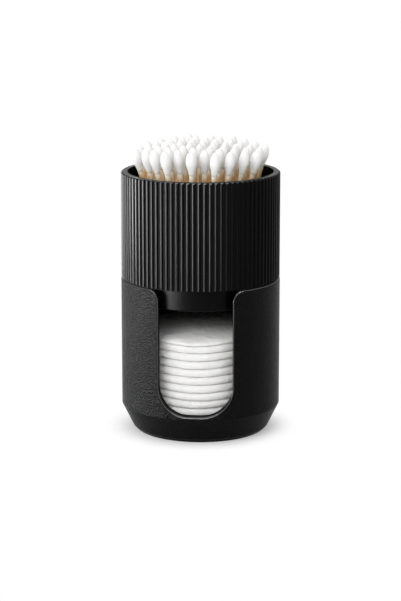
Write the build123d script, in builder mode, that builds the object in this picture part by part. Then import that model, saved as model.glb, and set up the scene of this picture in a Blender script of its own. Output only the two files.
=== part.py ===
from build123d import *
import math
import os

# A round vanity organizer in two stacking cups, 70 mm across. The lower cup holds a stack of
# round cotton pads, which are taken out through a U-shaped slot in its front. The upper,
# fluted cup plugs into it with a spigot and holds a loose bunch of cotton swabs.
# Millimetres, +Z up, the slot faces -Y. The origin is the middle of the foot.

# Lower cup
cup_radius = 35.0
wall = 4.7
floor_thickness = 4.2
heel_wall = 1.2            # left between the inside corner of the floor and the tapered foot
taper_height = 11.4        # the foot narrows below this height
foot_bevel = 0.8
inside_bevel = 1.0
edge_break = 0.7           # bevel along the rim and round the slot

# Slot in the front of the lower cup
slot_width = 32.0
slot_flat = 6.8            # straight part of the slot's lower edge, between its two corners
slot_sill = 1.3            # the slot starts this far above the taper
slot_lip_round = 5.2       # rounds the slot's sides into the rim

# Cotton pads
pad_count = 12
pad_thickness = 3.53
pad_play = 1.3             # all round, between a pad and the bore
pad_edge_width = 1.3       # pressed edge, seen from above
pad_edge_height = 1.15     # pressed edge, seen from the side
pad_sides = 18
headroom = 11.7            # free height over a full stack

# Upper cup
spigot_length = 9.7
spigot_play = 0.3          # all round, between the spigot and the bore
spigot_wall = 2.4
spigot_lead = 0.6
well_floor = 1.9
shoulder = 2.5             # the ledge that rests on the lower cup's rim
fluted_height = 47.0
rib_count = 90
rib_radius = 0.72
rib_sides = 10             # half of them stand out of the wall
rib_seat = 0.02            # the ribs' middles lie this far inside the wall
rib_setback = 0.15         # the ribs' crests stand this far inside the lower cup's face
rib_bevel = 0.5            # height over which a rib's ends slope back into the wall
rib_root = 0.18            # the slopes run on to this depth behind the ribs' middles
rib_turn = 1.1             # degrees, how the cup happens to stand in the lower one
ring_width = 2.85          # the flat ring round the mouth, from the rib crests to the bore

# Cotton swabs
swab_length = 68.5
stick_radius = 1.15
stick_sides = 5
tip_radius = 2.45
tip_length = 11.5
tip_sides = 6
belly_height = 4.4         # the widest place of a tip, from its end
blunt_radius = 1.2         # the very end of a tip
neck_wall = 0.3            # cotton round the stick where a tip ends
stick_inset = 1.8          # cotton beyond the end of the stick
swab_play = 0.3            # under the swabs' feet

# How the bunch stands: its feet fill one oval in close rows, and its tops fan out to another
neighbour_gap = 0.1        # between two tips at the floor
foot_side_room = 14.0      # from the oval of the feet to the spigot's bore, left and right
foot_end_room = 4.1        # the same, front and back
top_side_room = 2.4        # from the oval of the tops to the mouth, left and right
top_end_room = 9.0         # the same, front and back
unevenness = 0.7           # how far a top stands out of its place
wander_x = 7.1             # radians from one swab to the next, in the sines that place the tops
wander_y = 4.3

# Worked out from the sizes above
bore_radius = cup_radius - wall
stack_top = floor_thickness + pad_count * pad_thickness
spigot_base = stack_top + headroom
rim_height = spigot_base + spigot_length
taper_run = taper_height * (wall - heel_wall) / (taper_height - floor_thickness)
foot_radius = cup_radius - taper_run
slot_bottom = taper_height + slot_sill
slot_corner = (slot_width - slot_flat) / 2
crest_radius = cup_radius - rib_setback
rib_reach = rib_radius * math.cos(math.pi / rib_sides)
rib_place = crest_radius - rib_reach
valley_radius = rib_place + rib_seat
mouth_radius = crest_radius - ring_width
spigot_radius = bore_radius - spigot_play
well_radius = spigot_radius - spigot_wall
well_bottom = spigot_base + well_floor
mouth_height = rim_height + fluted_height
neck_radius = stick_radius + neck_wall
swab_pitch = 2 * tip_radius + neighbour_gap
row_pitch = swab_pitch * math.sin(math.pi / 3)
foot_side = well_radius - foot_side_room
foot_end = well_radius - foot_end_room


def finish(piece, name):
    """Names a piece and writes its file."""
    piece.label = name
    export_step(piece, f"parts/{name}.step")


os.makedirs("parts", exist_ok=True)

# Lower cup: a turned body with a tapered foot, then the slot through its front wall.
with BuildPart() as pad_cup:
    with BuildSketch(Plane.XZ) as pad_cup_section:
        with BuildLine():
            Polyline(
                (0, 0),
                (foot_radius, 0),
                (cup_radius, taper_height),
                (cup_radius, rim_height),
                (bore_radius, rim_height),
                (bore_radius, floor_thickness),
                (0, floor_thickness),
                close=True,
            )
        make_face()
        corners = pad_cup_section.vertices()
        foot_corner = corners.group_by(Axis.Y)[0].sort_by(Axis.X)[-1]
        chamfer(foot_corner, length=foot_bevel)
        corners = pad_cup_section.vertices()
        floor_corner = corners.sort_by_distance((bore_radius, 0, floor_thickness))[0]
        chamfer(floor_corner, length=inside_bevel)
    revolve(axis=Axis.Z)
    with BuildSketch(Plane.XZ) as slot:
        with Locations((0, slot_bottom)):
            Rectangle(slot_width, rim_height, align=(Align.CENTER, Align.MIN))
        fillet(slot.vertices().group_by(Axis.Y)[0], radius=slot_corner)
    extrude(amount=cup_radius + 1, mode=Mode.SUBTRACT)
    lips = pad_cup.edges().filter_by(Axis.Y).group_by(Axis.Z)[-1]
    fillet(lips, radius=slot_lip_round)
    outside = pad_cup.faces().filter_by(GeomType.CYLINDER).sort_by(SortBy.AREA)[-1]
    sharp = outside.edges().filter_by(lambda edge: edge.center().Z > taper_height + edge_break)
    chamfer(sharp, length=edge_break)
finish(pad_cup.part, "pad_cup")

# Cotton pads: flat discs with a pressed, thinner edge, stacked on the floor.
for index in range(pad_count):
    with BuildPart() as pad:
        with BuildSketch(Plane.XY.offset(floor_thickness + index * pad_thickness)):
            RegularPolygon(bore_radius - pad_play, pad_sides)
        extrude(amount=pad_thickness)
        faces = pad.faces().sort_by(Axis.Z)
        rims = faces[0].edges() + faces[-1].edges()
        chamfer(rims, length=pad_edge_height, length2=pad_edge_width)
    finish(pad.part, f"cotton_pad_{index + 1:02d}")

# One rib of the upper cup: half of its section stands out of the wall, and its ends slope.
with BuildPart() as rib:
    with BuildSketch(Plane.XY.offset(rim_height)):
        RegularPolygon(rib_radius, rib_sides, rotation=180 / rib_sides)
    extrude(amount=fluted_height)
    with BuildSketch(Plane.XZ.offset(-rib_radius)):
        with BuildLine():
            Polyline(
                (-rib_root, rim_height),
                (rib_reach, rim_height + rib_bevel),
                (rib_reach, mouth_height - rib_bevel),
                (-rib_root, mouth_height),
                close=True,
            )
        make_face()
    extrude(amount=2 * rib_radius, mode=Mode.INTERSECT)

# Upper cup: a wall with one flat side from each rib to the next, the ribs on its corners, and
# the spigot and both floors turned out of it.
with BuildPart() as swab_cup:
    with BuildSketch(Plane.XY.offset(rim_height)):
        RegularPolygon(valley_radius, rib_count, major_radius=False, rotation=rib_turn)
    extrude(amount=fluted_height)
    with PolarLocations(rib_place, rib_count, start_angle=rib_turn):
        add(rib.part)
    with BuildSketch(Plane.XY.offset(rim_height)):
        Circle(spigot_radius)
    spigot = extrude(amount=spigot_base - rim_height)
    spigot_foot = spigot.edges().filter_by(GeomType.CIRCLE).group_by(Axis.Z)[0]
    chamfer(spigot_foot, length=spigot_lead)
    with BuildSketch(Plane.XY.offset(well_bottom)):
        Circle(well_radius)
    extrude(amount=mouth_height - well_bottom, mode=Mode.SUBTRACT)
    with BuildSketch(Plane.XY.offset(rim_height + shoulder)):
        Circle(mouth_radius)
    extrude(amount=fluted_height - shoulder, mode=Mode.SUBTRACT)
finish(swab_cup.part, "swab_cup")


def cotton_tip(end, way):
    """A spindle of wound cotton, bored for its stick, that runs from its blunt end up or down.

    end is the height of the blunt end on the swab's axis. way is 1 upwards and -1 downwards.
    The spindle is what the outlines of its pairs of opposite sides have in common.
    """
    flat = math.cos(math.pi / tip_sides)
    right = [
        (flat * blunt_radius, end),
        (flat * tip_radius, end + way * belly_height),
        (flat * neck_radius, end + way * tip_length),
    ]
    left = [(-x, height) for x, height in reversed(right)]
    with BuildPart() as tip:
        for pair in range(tip_sides // 2):
            side = Plane.XZ.rotated((0, 0, (pair + 0.5) * 360 / tip_sides))
            with BuildSketch(side.offset(-tip_radius)):
                with BuildLine():
                    Polyline(*right, *left, close=True)
                make_face()
            extrude(amount=2 * tip_radius, mode=Mode.INTERSECT if pair else Mode.ADD)
        with BuildSketch(Plane.XY.offset(end + way * stick_inset)):
            RegularPolygon(stick_radius, stick_sides)
        extrude(amount=way * tip_length, mode=Mode.SUBTRACT)
    return tip.part


def bunch():
    """Where each swab stands: its foot on the floor, its axis towards its place at the top.

    The feet stand in rows, each half a step out from the next, that fill an oval. The tops
    fill a wider one, so the swabs fan out and never cross. Each top is a little out of place,
    by a sine of its number.
    """
    spread_x = (mouth_radius - top_side_room) / foot_side
    spread_y = (mouth_radius - top_end_room) / foot_end
    rows = int(foot_end / row_pitch)
    columns = int(foot_side / swab_pitch) + 1
    places = []
    for row in range(-rows, rows + 1):
        for column in range(-columns, columns + 1):
            foot_x = (column + (1 - row % 2) / 2) * swab_pitch
            foot_y = row * row_pitch
            if math.hypot(foot_x / foot_side, foot_y / foot_end) > 1:
                continue
            number = len(places)
            top_x = foot_x * spread_x + unevenness * math.sin(wander_x * number)
            top_y = foot_y * spread_y + unevenness * math.cos(wander_y * number)
            foot = Vector(foot_x, foot_y, well_bottom + swab_play)
            lean = Vector(top_x - foot_x, top_y - foot_y, swab_length)
            places.append(Plane(origin=foot, z_dir=lean).location)
    return places


# Cotton swabs: one stick and its two tips, repeated over the bunch.
with BuildPart() as stick:
    with BuildSketch(Plane.XY.offset(stick_inset)):
        RegularPolygon(stick_radius, stick_sides)
    extrude(amount=swab_length - 2 * stick_inset)
upper_tip = cotton_tip(swab_length, -1)
lower_tip = cotton_tip(0, 1)
places = bunch()
finish(Compound(children=[stick.part.moved(place) for place in places]), "swab_sticks")
finish(Compound(children=[upper_tip.moved(place) for place in places]), "swab_tips_upper")
finish(Compound(children=[lower_tip.moved(place) for place in places]), "swab_tips_lower")
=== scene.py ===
import math

import bpy
import numpy as np
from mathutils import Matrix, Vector


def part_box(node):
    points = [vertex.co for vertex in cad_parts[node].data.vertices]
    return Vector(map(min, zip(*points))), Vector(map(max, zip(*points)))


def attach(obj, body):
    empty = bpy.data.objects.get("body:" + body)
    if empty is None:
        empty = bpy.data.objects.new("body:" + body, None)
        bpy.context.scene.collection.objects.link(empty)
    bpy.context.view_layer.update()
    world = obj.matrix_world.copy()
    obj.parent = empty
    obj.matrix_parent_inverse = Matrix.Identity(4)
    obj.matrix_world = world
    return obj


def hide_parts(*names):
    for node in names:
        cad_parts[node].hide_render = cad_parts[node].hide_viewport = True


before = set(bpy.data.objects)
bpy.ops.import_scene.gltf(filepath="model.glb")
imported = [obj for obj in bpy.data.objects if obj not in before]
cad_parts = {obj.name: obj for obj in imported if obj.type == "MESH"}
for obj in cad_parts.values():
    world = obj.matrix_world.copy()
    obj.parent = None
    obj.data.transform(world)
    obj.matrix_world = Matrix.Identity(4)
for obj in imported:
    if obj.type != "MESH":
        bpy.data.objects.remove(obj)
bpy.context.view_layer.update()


# ---- Lower cup -------------------------------------------------------------------------
# A thick black moulding with a tapered foot. Its outer face comes off a spark-eroded mould
# and has a fine leathery grain. The bore and the floor are plain and matt, and the bevels
# along the rim and the slot carry a painted grey highlight.

mm = 0.001
cup_black = (0.0032, 0.0032, 0.0035, 1)
cup_worn = (0.0072, 0.0072, 0.0076, 1)
# grey of the highlight painted along the rim and slot bevels
highlight_grey = (0.110, 0.110, 0.115, 1)
cup_radius = 35.0 * mm
foot_radius = 29.46 * mm
taper_height = 11.4 * mm
grain_end = 0.05 * mm, 0.20 * mm       # depths under the outer skin where the grain ends, where the painted highlight along a bevel starts and ends, and where the plastic turns matt
highlight_start = 0.06 * mm, 0.14 * mm       # where the rubbed line of a bevel starts
highlight_end = 0.34 * mm, 0.44 * mm         # and ends, and where the plastic turns matt
bore_start = 0.70 * mm, 0.90 * mm
highlight_foot_limit = 1.2 * mm, 1.6 * mm        # the painted highlight is left off the foot's bevel below this height
pebble_size, pebble_melt = 0.70 * mm, 0.6
fleck_size = 0.45 * mm
cloud_size = 9.0 * mm
grain_depth = 0.42 * mm


class Shade:
    """An output socket that works in Python sums, each of which adds its Math node.

    node() adds a node of any other type. Its settings are set first, and then its sockets
    get their values or links.
    """

    def __init__(self, tree, socket=None):
        self.tree = tree
        self.socket = socket

    def node(self, kind, settings={}, inputs={}, output=0):
        made = self.tree.nodes.new(kind)
        for name, value in settings.items():
            setattr(made, name, value)
        for name, value in inputs.items():
            if isinstance(value, Shade):
                self.tree.links.new(value.socket, made.inputs[name])
            else:
                made.inputs[name].default_value = value
        return Shade(self.tree, made.outputs[output]) if made.outputs else None

    def math(self, operation, *values):
        return self.node("ShaderNodeMath", {"operation": operation}, dict(enumerate(values)))

    def __add__(self, other):
        return self.math("ADD", self, other)

    def __radd__(self, other):
        return self.math("ADD", other, self)

    def __sub__(self, other):
        return self.math("SUBTRACT", self, other)

    def __rsub__(self, other):
        return self.math("SUBTRACT", other, self)

    def __mul__(self, other):
        return self.math("MULTIPLY", self, other)

    def __rmul__(self, other):
        return self.math("MULTIPLY", other, self)

    def rise(self, low, high):
        """0 below low, 1 above high, and a smooth step between them."""
        settings = {"interpolation_type": "SMOOTHSTEP"}
        inputs = {"Value": self, "From Min": low, "From Max": high}
        return self.node("ShaderNodeMapRange", settings, inputs)

    def blend(self, colour, other):
        """The first colour where this value is 0, and the other where it is 1."""
        settings = {"data_type": "RGBA"}
        inputs = {0: self, 6: colour, 7: other}
        return self.node("ShaderNodeMix", settings, inputs, output=2)

    def noise(self, place, size, detail=2.0, roughness=0.5):
        """Soft noise from 0 to 1 whose lumps are about as wide as size, in metres."""
        inputs = {"Vector": place, "Scale": 1 / size}
        inputs |= {"Detail": detail, "Roughness": roughness}
        return self.node("ShaderNodeTexNoise", {}, inputs)

    def object_place(self, stretch=(1, 1, 1)):
        """The place on the piece, in metres. A pattern is drawn out where stretch is small."""
        place = self.node("ShaderNodeTexCoord", output="Object")
        if stretch == (1, 1, 1):
            return place
        return self.node("ShaderNodeMapping", {}, {"Vector": place, "Scale": stretch})

    def coordinate(self, axis, vector=None):
        """X, Y or Z of a vector, or else of the place on the piece."""
        vector = vector or self.object_place()
        return self.node("ShaderNodeSeparateXYZ", {}, {"Vector": vector}, output=axis)

    def off_axis(self):
        """The distance of the place on the piece from the cups' common axis, in metres."""
        x, y = self.coordinate("X"), self.coordinate("Y")
        return self.math("SQRT", x * x + y * y)

    def bump(self, height, distance):
        """A surface raised by this distance, in metres, where the height is 1."""
        inputs = {"Height": height, "Distance": distance, "Strength": 1.0}
        return self.node("ShaderNodeBump", {}, inputs)

    def finish(self, inputs):
        """Ends the material with a Principled shader that has these inputs."""
        shader = self.node("ShaderNodeBsdfPrincipled", {}, inputs)
        self.node("ShaderNodeOutputMaterial", {}, {"Surface": shader})


def new_finish(name):
    """An empty material, and the Shade that stands for its node tree."""
    material = bpy.data.materials.new(name)
    material.use_nodes = True
    material.node_tree.nodes.clear()
    return material, Shade(material.node_tree)


def grained_plastic():
    """Black plastic, pebbled outside, with a painted grey highlight along its bevels, and matt
    inside.

    The grain is rounded cells with finer flecks on them. Its place is told by the depth under
    the cup's outer skin, which is a cone at the tapered foot and a cylinder above it.
    """
    material, shade = new_finish("grained_black_plastic")
    place = shade.object_place()
    height = shade.coordinate("Z")
    cone = foot_radius + height * ((cup_radius - foot_radius) / taper_height)
    depth = shade.math("MINIMUM", cone, cup_radius) - shade.off_axis()
    outside = 1 - depth.rise(*grain_end)
    inside = depth.rise(*bore_start)
    # edge is a painted highlight: a grey band along the rim and slot bevels, none on the foot
    edge = depth.rise(*highlight_start) * (1 - depth.rise(*highlight_end)) * height.rise(*highlight_foot_limit)
    cells = {"Vector": place, "Scale": 1 / pebble_size, "Smoothness": pebble_melt}
    pebbles = shade.node("ShaderNodeTexVoronoi", {"feature": "SMOOTH_F1"}, cells)
    flecks = shade.noise(place, fleck_size, detail=3.0, roughness=0.6)
    clouds = shade.noise(place, cloud_size)
    grain = (0.7 * pebbles + 0.9 * flecks) * outside
    skin = (0.3 * flecks + 0.4 * clouds).blend(cup_black, cup_worn)
    shade.finish({
        "Base Color": edge.blend(skin, highlight_grey),
        "Roughness": 0.20 + (0.14 * flecks + 0.05 * clouds) * outside + 0.64 * inside,
        "Specular IOR Level": 0.0225,
        "Normal": shade.bump(grain, grain_depth),
    })
    return material


def dress(node, material):
    """Gives a carried-over piece of the frame its finish."""
    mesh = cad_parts[node].data
    mesh.materials.clear()
    mesh.materials.append(material)


dress("pad_cup", grained_plastic())


# ---- Cotton pads -----------------------------------------------------------------------
# Twelve discs of needled cotton, punched from a sheet and stacked on the cup's floor. They
# are pressed together, so each takes its neighbour's unevenness, and their free front edges
# sag a little in the slot. Their rims are rounded where the punch has pinched the fibres.

pad_total = 12
stack_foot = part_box("cotton_pad_01")[0][2]
stack_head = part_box(f"cotton_pad_{pad_total:02d}")[1][2]
pad_radius = 28.75 * mm
pad_ripple = 0.077 * mm
rim_depth = 2.3 * mm
rim_squareness = 2.5
rim_steps, flat_steps, pad_columns = 23, 9, 144
inner_ring = 0.08                      # share of a flat's radius where its first ring lies
pad_gap = 0.02 * mm
sag = 1.15 * mm
sag_width = 13.5 * mm
stack_swell = 0.9 * mm
lay_unevenness = 0.07 * mm
top_crown = 1.1 * mm
top_rim_depth = 6.0 * mm
top_rim_fall = 1.6                     # a power, 1 on a rim that is widest at its middle
cotton_white = (0.900, 0.897, 0.885, 1)
cotton_shade = (0.830, 0.825, 0.810, 1)
fibre_size, lump_size, dent_size = 0.42 * mm, 2.6 * mm, 6.0 * mm
fibre_rise = 0.30, 0.62                # values of the noise from shade to white
lump_rise = 0.30, 0.60
cotton_relief = 0.35 * mm


def closed_piece(name, rings, poles, material):
    """A mesh of closed forms, each a stack of rings between two poles.

    rings holds forms x rows x columns points that run from the first pole to the last and
    anticlockwise, seen from the last, and poles holds forms x 2 points.
    """
    forms, rows, columns = rings.shape[:3]
    ring_points = forms * rows * columns
    number = np.arange(ring_points).reshape(forms, rows, columns)
    after = np.roll(number, -1, axis=2)
    sides = np.stack([number[:, :-1], after[:, :-1], after[:, 1:], number[:, 1:]], axis=-1)
    first = np.broadcast_to(ring_points + 2 * np.arange(forms)[:, None], (forms, columns))
    start = np.stack([first, after[:, 0], number[:, 0]], axis=-1)
    end = np.stack([first + 1, number[:, -1], after[:, -1]], axis=-1)
    faces = sides.reshape(-1, 4).tolist() + start.reshape(-1, 3).tolist()
    faces += end.reshape(-1, 3).tolist()
    points = np.concatenate([rings.reshape(-1, 3), poles.reshape(-1, 3)])
    mesh = bpy.data.meshes.new(name)
    mesh.from_pydata(points, [], faces)
    mesh.shade_smooth()
    mesh.materials.append(material)
    piece = bpy.data.objects.new(name, mesh)
    bpy.context.collection.objects.link(piece)
    return piece


def lay_height(layer, x, y):
    """The height of the boundary under the pad of this number, or over the last one.

    It is the layer's share of the stack, plus a swell, less a sag at the front, and plus long
    sine waves round the pad that start elsewhere in each layer. The first boundary is the
    flat floor, the next has half of the swell and the sag, and the others have all of both.
    The top of the stack is crowned.
    """
    loose = min(layer / 2, 1)
    height = stack_foot + (stack_head - stack_foot) * layer / pad_total + stack_swell * loose
    turn = np.arctan2(x, -y)
    reach = np.hypot(x, y) / pad_radius
    front = np.exp(-((x / sag_width) ** 2)) * (y < 0) * reach**2
    height = height - sag * loose * front
    wave = np.sin(2 * turn + 2.3 * layer) + 0.8 * np.sin(3 * turn + 4.1 * layer * layer)
    wave += 1.2 * np.sin(5.7 * layer * layer) * (y < 0)
    height = height + lay_unevenness * min(layer, 1) * reach**2 * wave
    if layer == pad_total:
        height = height - top_crown * reach**3
    return height


def pad_shape(index):
    """One pad: rings from the middle of its underside, round its rim, to the middle on top.

    The rim is a superellipse between the boundaries under and over the pad, and its radius
    ripples slightly round the pad, by sine waves that start elsewhere on each pad. Nothing
    presses the pad on top of the stack, so its upper side is rounded deeper, and its rim is
    widest below the middle.
    """
    bend = np.linspace(0, math.pi, rim_steps + 2)[1:-1]
    free = index == pad_total - 1
    depth = np.where((bend > math.pi / 2) & free, top_rim_depth, rim_depth) / pad_radius
    flat = np.linspace(inner_ring, 1, flat_steps)
    under_flat = flat * (1 - depth[0])
    over_flat = flat[::-1] * (1 - depth[-1])
    edge = 1 - depth * (1 - np.sin(bend) ** (2 / rim_squareness))
    side = -np.sign(np.cos(bend)) * np.abs(np.cos(bend)) ** (2 / rim_squareness)
    reach = np.concatenate([under_flat, edge, over_flat])[:, None]
    side = np.concatenate([-np.ones(flat_steps), side, np.ones(flat_steps)])[:, None]
    turn = np.linspace(0, 2 * math.pi, pad_columns, endpoint=False)[None, :]
    ripple = np.sin(4 * turn + 1.7 * index) + np.sin(7 * turn + 5.3 * index * index)
    ripple += 0.6 * np.sin(19 * turn + 2.9 * index) + 1.2 * np.sin(9.1 * index * index)
    radius = reach * (pad_radius + pad_ripple * ripple * reach**4)
    x = radius * np.cos(turn)
    y = radius * np.sin(turn)
    under = lay_height(index, x, y) + pad_gap
    over = lay_height(index + 1, x, y) - pad_gap
    share = ((1 + side) / 2) ** (top_rim_fall if free else 1)
    rings = np.stack([x, y, under + share * (over - under)], axis=-1)
    middle = np.zeros(1)
    foot = lay_height(index, middle, middle)[0] + pad_gap
    head = lay_height(index + 1, middle, middle)[0] - pad_gap
    return rings[None], np.array([[[0, 0, foot], [0, 0, head]]])


def pressed_cotton():
    """White cotton wool: matted fibres a few tenths of a millimetre apart, and soft lumps.

    Handling has left shallow dents in the pads.
    """
    material, shade = new_finish("pressed_cotton")
    place = shade.object_place()
    matted = shade.object_place((1, 1, 1.8))
    fibres = shade.noise(matted, fibre_size, detail=5.0, roughness=0.65)
    lumps = shade.noise(place, lump_size, detail=3.0)
    dents = shade.noise(place, dent_size)
    bright = 0.6 * fibres.rise(*fibre_rise) + 0.4 * lumps.rise(*lump_rise)
    shade.finish({
        "Base Color": bright.blend(cotton_shade, cotton_white),
        "Roughness": 0.86 + 0.1 * fibres,
        "Specular IOR Level": 0.15,
        "Subsurface Weight": 0.20,
        "Subsurface Scale": 1.2 * mm,
        "Subsurface Radius": (1.0, 0.9, 0.8),
        "Sheen Weight": 0.12,
        "Normal": shade.bump(0.6 * fibres + 1.3 * lumps + 3.2 * dents, cotton_relief),
    })
    return material


pad_cotton = pressed_cotton()
for index in range(pad_total):
    pad = closed_piece(f"pad_{index + 1:02d}", *pad_shape(index), pad_cotton)
    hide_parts(f"cotton_pad_{index + 1:02d}")
    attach(pad, "pads")


# ---- Upper cup -------------------------------------------------------------------------
# A thin-walled black moulding with ribs all round, a flat ring at its mouth and a smooth
# spigot underneath. It has no grain: hands have polished the ribs' crests and the ring, the
# valleys between the ribs have kept the mould's matt skin, and faint streaks run up the ribs.

valley_start = 32.4 * mm, 32.6 * mm    # distances from the axis, inside the wall,
valley_end = 34.22 * mm, 34.45 * mm    # and from a valley's floor to the ribs' flanks
ring_level = 114.8 * mm, 114.9 * mm    # heights where the ring starts
stipple_size, streak_size = 0.20 * mm, 1.1 * mm
satin_relief = 0.012 * mm
satin_black = (0.0008, 0.0008, 0.0009, 1)
satin_grey = (0.0020, 0.0020, 0.0022, 1)


def satin_plastic():
    """Black plastic with a satin skin: a very fine stipple and long faint streaks.

    It is rougher in the valleys between the ribs, below the ring.
    """
    material, shade = new_finish("matte_black_plastic")
    radius = shade.off_axis()
    valley = radius.rise(*valley_start) * (1 - radius.rise(*valley_end))
    valley = valley * (1 - shade.coordinate("Z").rise(*ring_level))
    stipple = shade.noise(shade.object_place(), stipple_size)
    streaks = shade.noise(shade.object_place((1, 1, 0.04)), streak_size)
    shade.finish({
        "Base Color": streaks.blend(satin_black, satin_grey),
        "Roughness": 0.24 + 0.08 * stipple + 0.10 * streaks + 0.45 * valley,
        "Specular IOR Level": 0.05,
        "Normal": shade.bump(0.7 * stipple + 0.3 * streaks, satin_relief),
    })
    return material


dress("swab_cup", satin_plastic())


# ---- Cotton swabs ----------------------------------------------------------------------
# Fifty-two bamboo sticks with cotton spun round both ends. They stand loose in the cup's
# well, close together at the floor, and fan out to the sides of the mouth.

swab_length = 67.2 * mm
stick_radius = 1.15 * mm
stick_inset = 1.8 * mm
tip_radius = 2.32 * mm
tip_length = 10.3 * mm
belly = 4.7 * mm
neck_radius = 1.28 * mm
tip_fullness = 0.60                    # a power, 0.5 where a tip's end is a half circle
thread_turn = 0.8 * mm                 # along a tip, for each radian of its cotton's winding
tip_rows, tip_columns = 24, 22
stick_rows, stick_columns = 9, 14
swab_foot = 60.46 * mm                 # height of the feet, just over the well's floor
swab_pitch = 5.0 * mm
foot_side, foot_end = 13.6 * mm, 23.5 * mm
top_side, top_end = 29.6 * mm, 30.0 * mm
unevenness = 0.7 * mm
wander_x, wander_y = 7.6, 3.9          # radians from one swab to the next
bunch_twist = math.radians(-6)
tip_white = (0.905, 0.903, 0.897, 1)
tip_shade = (0.870, 0.855, 0.835, 1)
# cream of a neck: the stick under thin cotton, and on the sticks also painted light
neck_cream = (0.93, 0.85, 0.72, 1)
bamboo_pale = (0.88, 0.68, 0.40, 1)
bamboo_tan = (0.74, 0.44, 0.16, 1)
bamboo_dark = (0.44, 0.20, 0.05, 1)
spun_fibre_size, spun_lump_size, spun_relief = 0.30 * mm, 1.5 * mm, 0.07 * mm
cane_fibre_size, cane_patch_size, cane_relief = 0.24 * mm, 3.4 * mm, 0.05 * mm
spun_rise = 0.30, 0.60                 # values of the noise where spun cotton is brighter,
tan_rise = 0.36, 0.58                  # where a stick is tan
dark_rise = 0.42, 0.72                 # and where a fibre in it is dark
fluff_and_light_rise = 113.2 * mm, 116.3 * mm    # heights where stray fibres and painted light make the stick pale
cotton_rise = 116.3 * mm, 118.6 * mm   # and where the cotton hides its cream


def bunch():
    """The foot of each swab and the direction of its stick, as arrays.

    The feet stand in rows, each half a step out from the next, that fill an oval. The tops
    fill a wider one, turned a little about the cup's axis. Each top is a little out of its
    place, by a sine of the swab's number.
    """
    row_pitch = swab_pitch * math.sin(math.pi / 3)
    rows = int(foot_end / row_pitch)
    columns = int(foot_side / swab_pitch) + 1
    row, column = np.mgrid[-rows:rows + 1, -columns:columns + 1]
    foot_x = (column + (1 - row % 2) / 2) * swab_pitch
    foot_y = row * row_pitch
    inside = np.hypot(foot_x / foot_side, foot_y / foot_end) <= 1
    foot_x, foot_y = foot_x[inside], foot_y[inside]
    number = np.arange(len(foot_x))
    wide_x = foot_x * top_side / foot_side
    wide_y = foot_y * top_end / foot_end
    top_x = math.cos(bunch_twist) * wide_x - math.sin(bunch_twist) * wide_y
    top_y = math.sin(bunch_twist) * wide_x + math.cos(bunch_twist) * wide_y
    top_x = top_x + unevenness * np.sin(wander_x * number)
    top_y = top_y + unevenness * np.cos(wander_y * number)
    level = np.ones(len(number))
    foot = np.stack([foot_x, foot_y, swab_foot * level], axis=-1)
    lean = np.stack([top_x - foot_x, top_y - foot_y, swab_length * level], axis=-1)
    return foot, lean / np.linalg.norm(lean, axis=-1, keepdims=True)


def along_swabs(distance, radius):
    """Rings round every swab, square to it, and the middle of each ring.

    distance holds how far each row of rings is from the swab's foot, and radius the rings'
    radii, as forms x rows x columns.
    """
    foot, axis = bunch()
    turn = np.linspace(0, 2 * math.pi, radius.shape[-1], endpoint=False)
    side = np.cross((0.0, 1.0, 0.0), axis)
    side /= np.linalg.norm(side, axis=-1, keepdims=True)
    depth = np.cross(axis, side)
    out = np.cos(turn)[:, None] * side[:, None] + np.sin(turn)[:, None] * depth[:, None]
    middle = foot[:, None] + distance[:, None] * axis[:, None]
    rings = middle[:, :, None] + radius[..., None] * out[:, None]
    return rings, middle


def tip_shape(start, way):
    """The cotton at one end of every swab, from the blunt end at start up or down the stick.

    Its radius rises to the belly as a power of the half circle's and falls to the neck as a
    cosine wave. Each tip is a little fuller or slimmer, slightly oval, and carries the low
    swell of the spun cotton's turns, by sines of the swab's number. Its rings lie closer
    together at the blunt end.
    """
    foot, axis = bunch()
    number = np.arange(len(foot))[:, None, None]
    share = np.linspace(0, 1, tip_rows + 1)[1:]
    along = tip_length * share**1.5
    rise = (1 - (1 - np.minimum(along / belly, 1)) ** 2) ** tip_fullness
    past_belly = np.clip((along - belly) / (tip_length - belly), 0, 1)
    fall = 0.5 + 0.5 * np.cos(math.pi * past_belly)
    taper = neck_radius + (tip_radius - neck_radius) * fall
    radius = np.where(along < belly, tip_radius * rise, taper)
    turn = np.linspace(0, 2 * math.pi, tip_columns, endpoint=False)
    fullness = 0.97 + 0.03 * np.sin(2.7 * number)
    oval = 0.015 * np.sin(2 * turn + 1.9 * number)
    swell = 0.006 * np.sin(turn * way - along[:, None] / thread_turn + 3.3 * number)
    radius = radius[:, None] * (fullness + oval + swell)
    rings, middle = along_swabs(start + way * along, radius)
    ends = np.stack([foot + start * axis, middle[:, -1]], axis=1)
    if way < 0:
        return rings[:, ::-1], ends[:, ::-1]
    return rings, ends


def stick_shape():
    """The sticks: round rods from cotton to cotton, very slightly thicker in the middle.

    The radius grows by half a sine wave, and differs a little by a sine of the swab's number.
    """
    number = np.arange(len(bunch()[0]))[:, None, None]
    share = np.linspace(0, 1, stick_rows)
    radius = stick_radius * (0.98 + 0.02 * np.sin(math.pi * share))[:, None]
    radius = radius * (1 + 0.02 * np.sin(4.7 * number)) * np.ones(stick_columns)
    distance = stick_inset + share * (swab_length - 2 * stick_inset)
    rings, middle = along_swabs(distance, radius)
    return rings, middle[:, [0, -1]]


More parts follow.
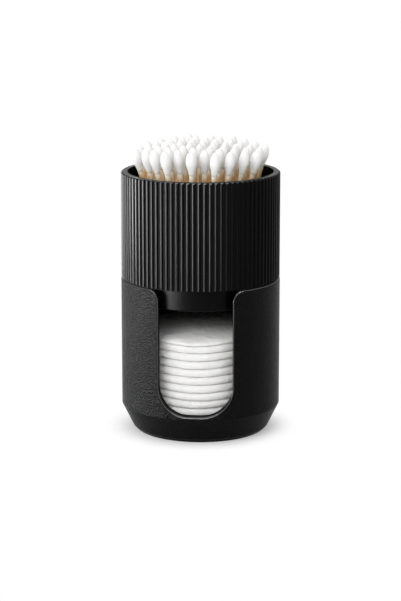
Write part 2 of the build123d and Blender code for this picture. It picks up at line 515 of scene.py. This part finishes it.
def wound_cotton():
    """Brighter, finer cotton than the pads': fibres laid round the stick, with soft lumps.

    It thins out towards the neck, where the stick's cream shows through.
    """
    material, shade = new_finish("wound_cotton")
    wound = shade.object_place((1, 1, 2.6))
    fibres = shade.noise(wound, spun_fibre_size, detail=4.0, roughness=0.6)
    lumps = shade.noise(shade.object_place(), spun_lump_size)
    white = fibres.rise(*spun_rise).blend(tip_shade, tip_white)
    shade.finish({
        "Base Color": shade.coordinate("Z").rise(*cotton_rise).blend(neck_cream, white),
        "Roughness": 0.84 + 0.1 * fibres,
        "Specular IOR Level": 0.15,
        "Subsurface Weight": 0.20,
        "Subsurface Scale": 1.0 * mm,
        "Subsurface Radius": (1.0, 0.95, 0.9),
        "Sheen Weight": 0.12,
        "Normal": shade.bump(fibres + 0.5 * lumps, spun_relief),
    })
    return material


def bamboo():
    """Pale tan bamboo: dark and light fibres along the stick, and sticks of differing tone.

    Just under the upper cotton the sticks are pale, partly with stray fibres and partly
    with painted light, which stands for the light on the top of the bunch.
    """
    material, shade = new_finish("bamboo")
    fibres = shade.noise(shade.object_place((1, 1, 0.05)), cane_fibre_size, detail=3.0)
    tone = shade.noise(shade.object_place((1, 1, 0.02)), cane_patch_size, detail=0.0)
    bare = tone.rise(*tan_rise).blend(bamboo_pale, bamboo_tan)
    stick = fibres.rise(*dark_rise).blend(bare, bamboo_dark)
    shade.finish({
        # painted light, partly stray fibres: the sticks turn cream towards the upper cotton
        "Base Color": shade.coordinate("Z").rise(*fluff_and_light_rise).blend(stick, neck_cream),
        "Roughness": 0.55 + 0.1 * fibres,
        "Specular IOR Level": 0.35,
        "Normal": shade.bump(fibres, cane_relief),
    })
    return material


tip_cotton = wound_cotton()
upper, lower = tip_shape(swab_length, -1), tip_shape(0, 1)
swab_pieces = [
    ("swab_cotton_upper", "swab_tips_upper", "wound_cotton", tip_cotton, upper),
    ("swab_cotton_lower", "swab_tips_lower", "wound_cotton", tip_cotton, lower),
    ("swab_rods", "swab_sticks", "bamboo", bamboo(), stick_shape()),
]
for name, node, slot, material, shape in swab_pieces:
    piece = closed_piece(name, *shape, material)
    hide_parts(node)
    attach(piece, "swabs")


# ---- Studio ----------------------------------------------------------------------------
# A white floor that keeps the soft shadow at the foot, a room that is bright behind the
# object and dim in front of it, and a large soft box at the front left. A strip beside the
# cups and a lid over them light reflections only, and give the black plastic its highlights.

floor_reach = 12.0
floor_white = (0.95, 0.95, 0.95, 1)
near_lift = 0.25                       # share of white added to the floor under the object
lift_rise = 0.028, 0.044               # distances from the axis where it becomes 1
room_dim, room_bright = 0.70, 1.0
room_rise = 0.1, 0.8                   # Y of a direction, which is 1 straight back

corners = floor_reach * np.array([(-1, -1, 0), (1, -1, 0), (1, 1, 0), (-1, 1, 0)])
floor_mesh = bpy.data.meshes.new("floor")
floor_mesh.from_pydata(corners, [], [(0, 1, 2, 3)])
floor = bpy.data.objects.new("floor", floor_mesh)
bpy.context.collection.objects.link(floor)

material, shade = new_finish("white_floor")
seen = shade.node("ShaderNodeLightPath", output="Is Camera Ray")
for ray in ("Is Glossy Ray", "Is Transmission Ray"):
    seen = shade.math("MAXIMUM", seen, shade.node("ShaderNodeLightPath", output=ray))
lift = near_lift + (1 - near_lift) * shade.off_axis().rise(*lift_rise)
plain = shade.node("ShaderNodeBsdfDiffuse", {}, {"Color": floor_white})
white = shade.node("ShaderNodeEmission", {}, {"Color": (1, 1, 1, 1), "Strength": 1.0})
surface = shade.node("ShaderNodeMixShader", {}, {0: seen * lift, 1: plain, 2: white})
shade.node("ShaderNodeOutputMaterial", {}, {"Surface": surface})
floor_mesh.materials.append(material)

world = bpy.data.worlds.new("room")
world.use_nodes = True
world.node_tree.nodes.clear()
shade = Shade(world.node_tree)
behind = shade.coordinate("Y", shade.node("ShaderNodeTexCoord", output="Generated"))
strength = room_dim + (room_bright - room_dim) * behind.rise(*room_rise)
white_light = {"Color": (1, 1, 1, 1), "Strength": strength}
background = shade.node("ShaderNodeBackground", {}, white_light)
shade.node("ShaderNodeOutputWorld", {}, {"Surface": background})
bpy.context.scene.world = world


def stand(name, data, aim, turn, height, distance):
    """Stands a lamp or the camera at this distance from aim and points it there.

    turn is from the front to the right and height is over the floor, both in degrees.
    """
    turn, height = math.radians(turn), math.radians(height)
    reach = math.cos(height)
    back = Vector((math.sin(turn) * reach, -math.cos(turn) * reach, math.sin(height)))
    thing = bpy.data.objects.new(name, data)
    thing.location = aim + distance * back
    thing.rotation_euler = back.to_track_quat("Z", "Y").to_euler()
    bpy.context.collection.objects.link(thing)
    return thing


def soft_box(name, turn, height, distance, size, power):
    """A rectangular area light that points at the middle of the object."""
    light = bpy.data.lights.new(name, "AREA")
    light.shape = "RECTANGLE"
    light.size, light.size_y = size
    light.energy = power
    return stand(name, light, Vector((0, 0, 60 * mm)), turn, height, distance)


soft_box("key", turn=-32, height=28, distance=1.3, size=(0.9, 0.6), power=7)
strip = soft_box("strip", turn=-76, height=0, distance=0.34, size=(0.56, 0.10), power=13)
lid = soft_box("lid", turn=0, height=84, distance=0.6, size=(0.5, 0.5), power=60)
for gloss in (strip, lid):
    gloss.visible_diffuse = False
    gloss.visible_camera = False

# The camera stands 0.9 m away, a little to the right of the front and above the mouth.
camera_data = bpy.data.cameras.new("camera")
camera_data.lens = 121.7
camera_data.sensor_width = 36.0
camera_data.clip_start, camera_data.clip_end = 0.05, 50
camera_aim = Vector((-0.04 * mm, 0, 56.85 * mm))
camera = stand("camera", camera_data, camera_aim, turn=4.1, height=12.51, distance=0.9)
bpy.context.scene.camera = camera
bpy.context.scene.view_settings.view_transform = "Standard"
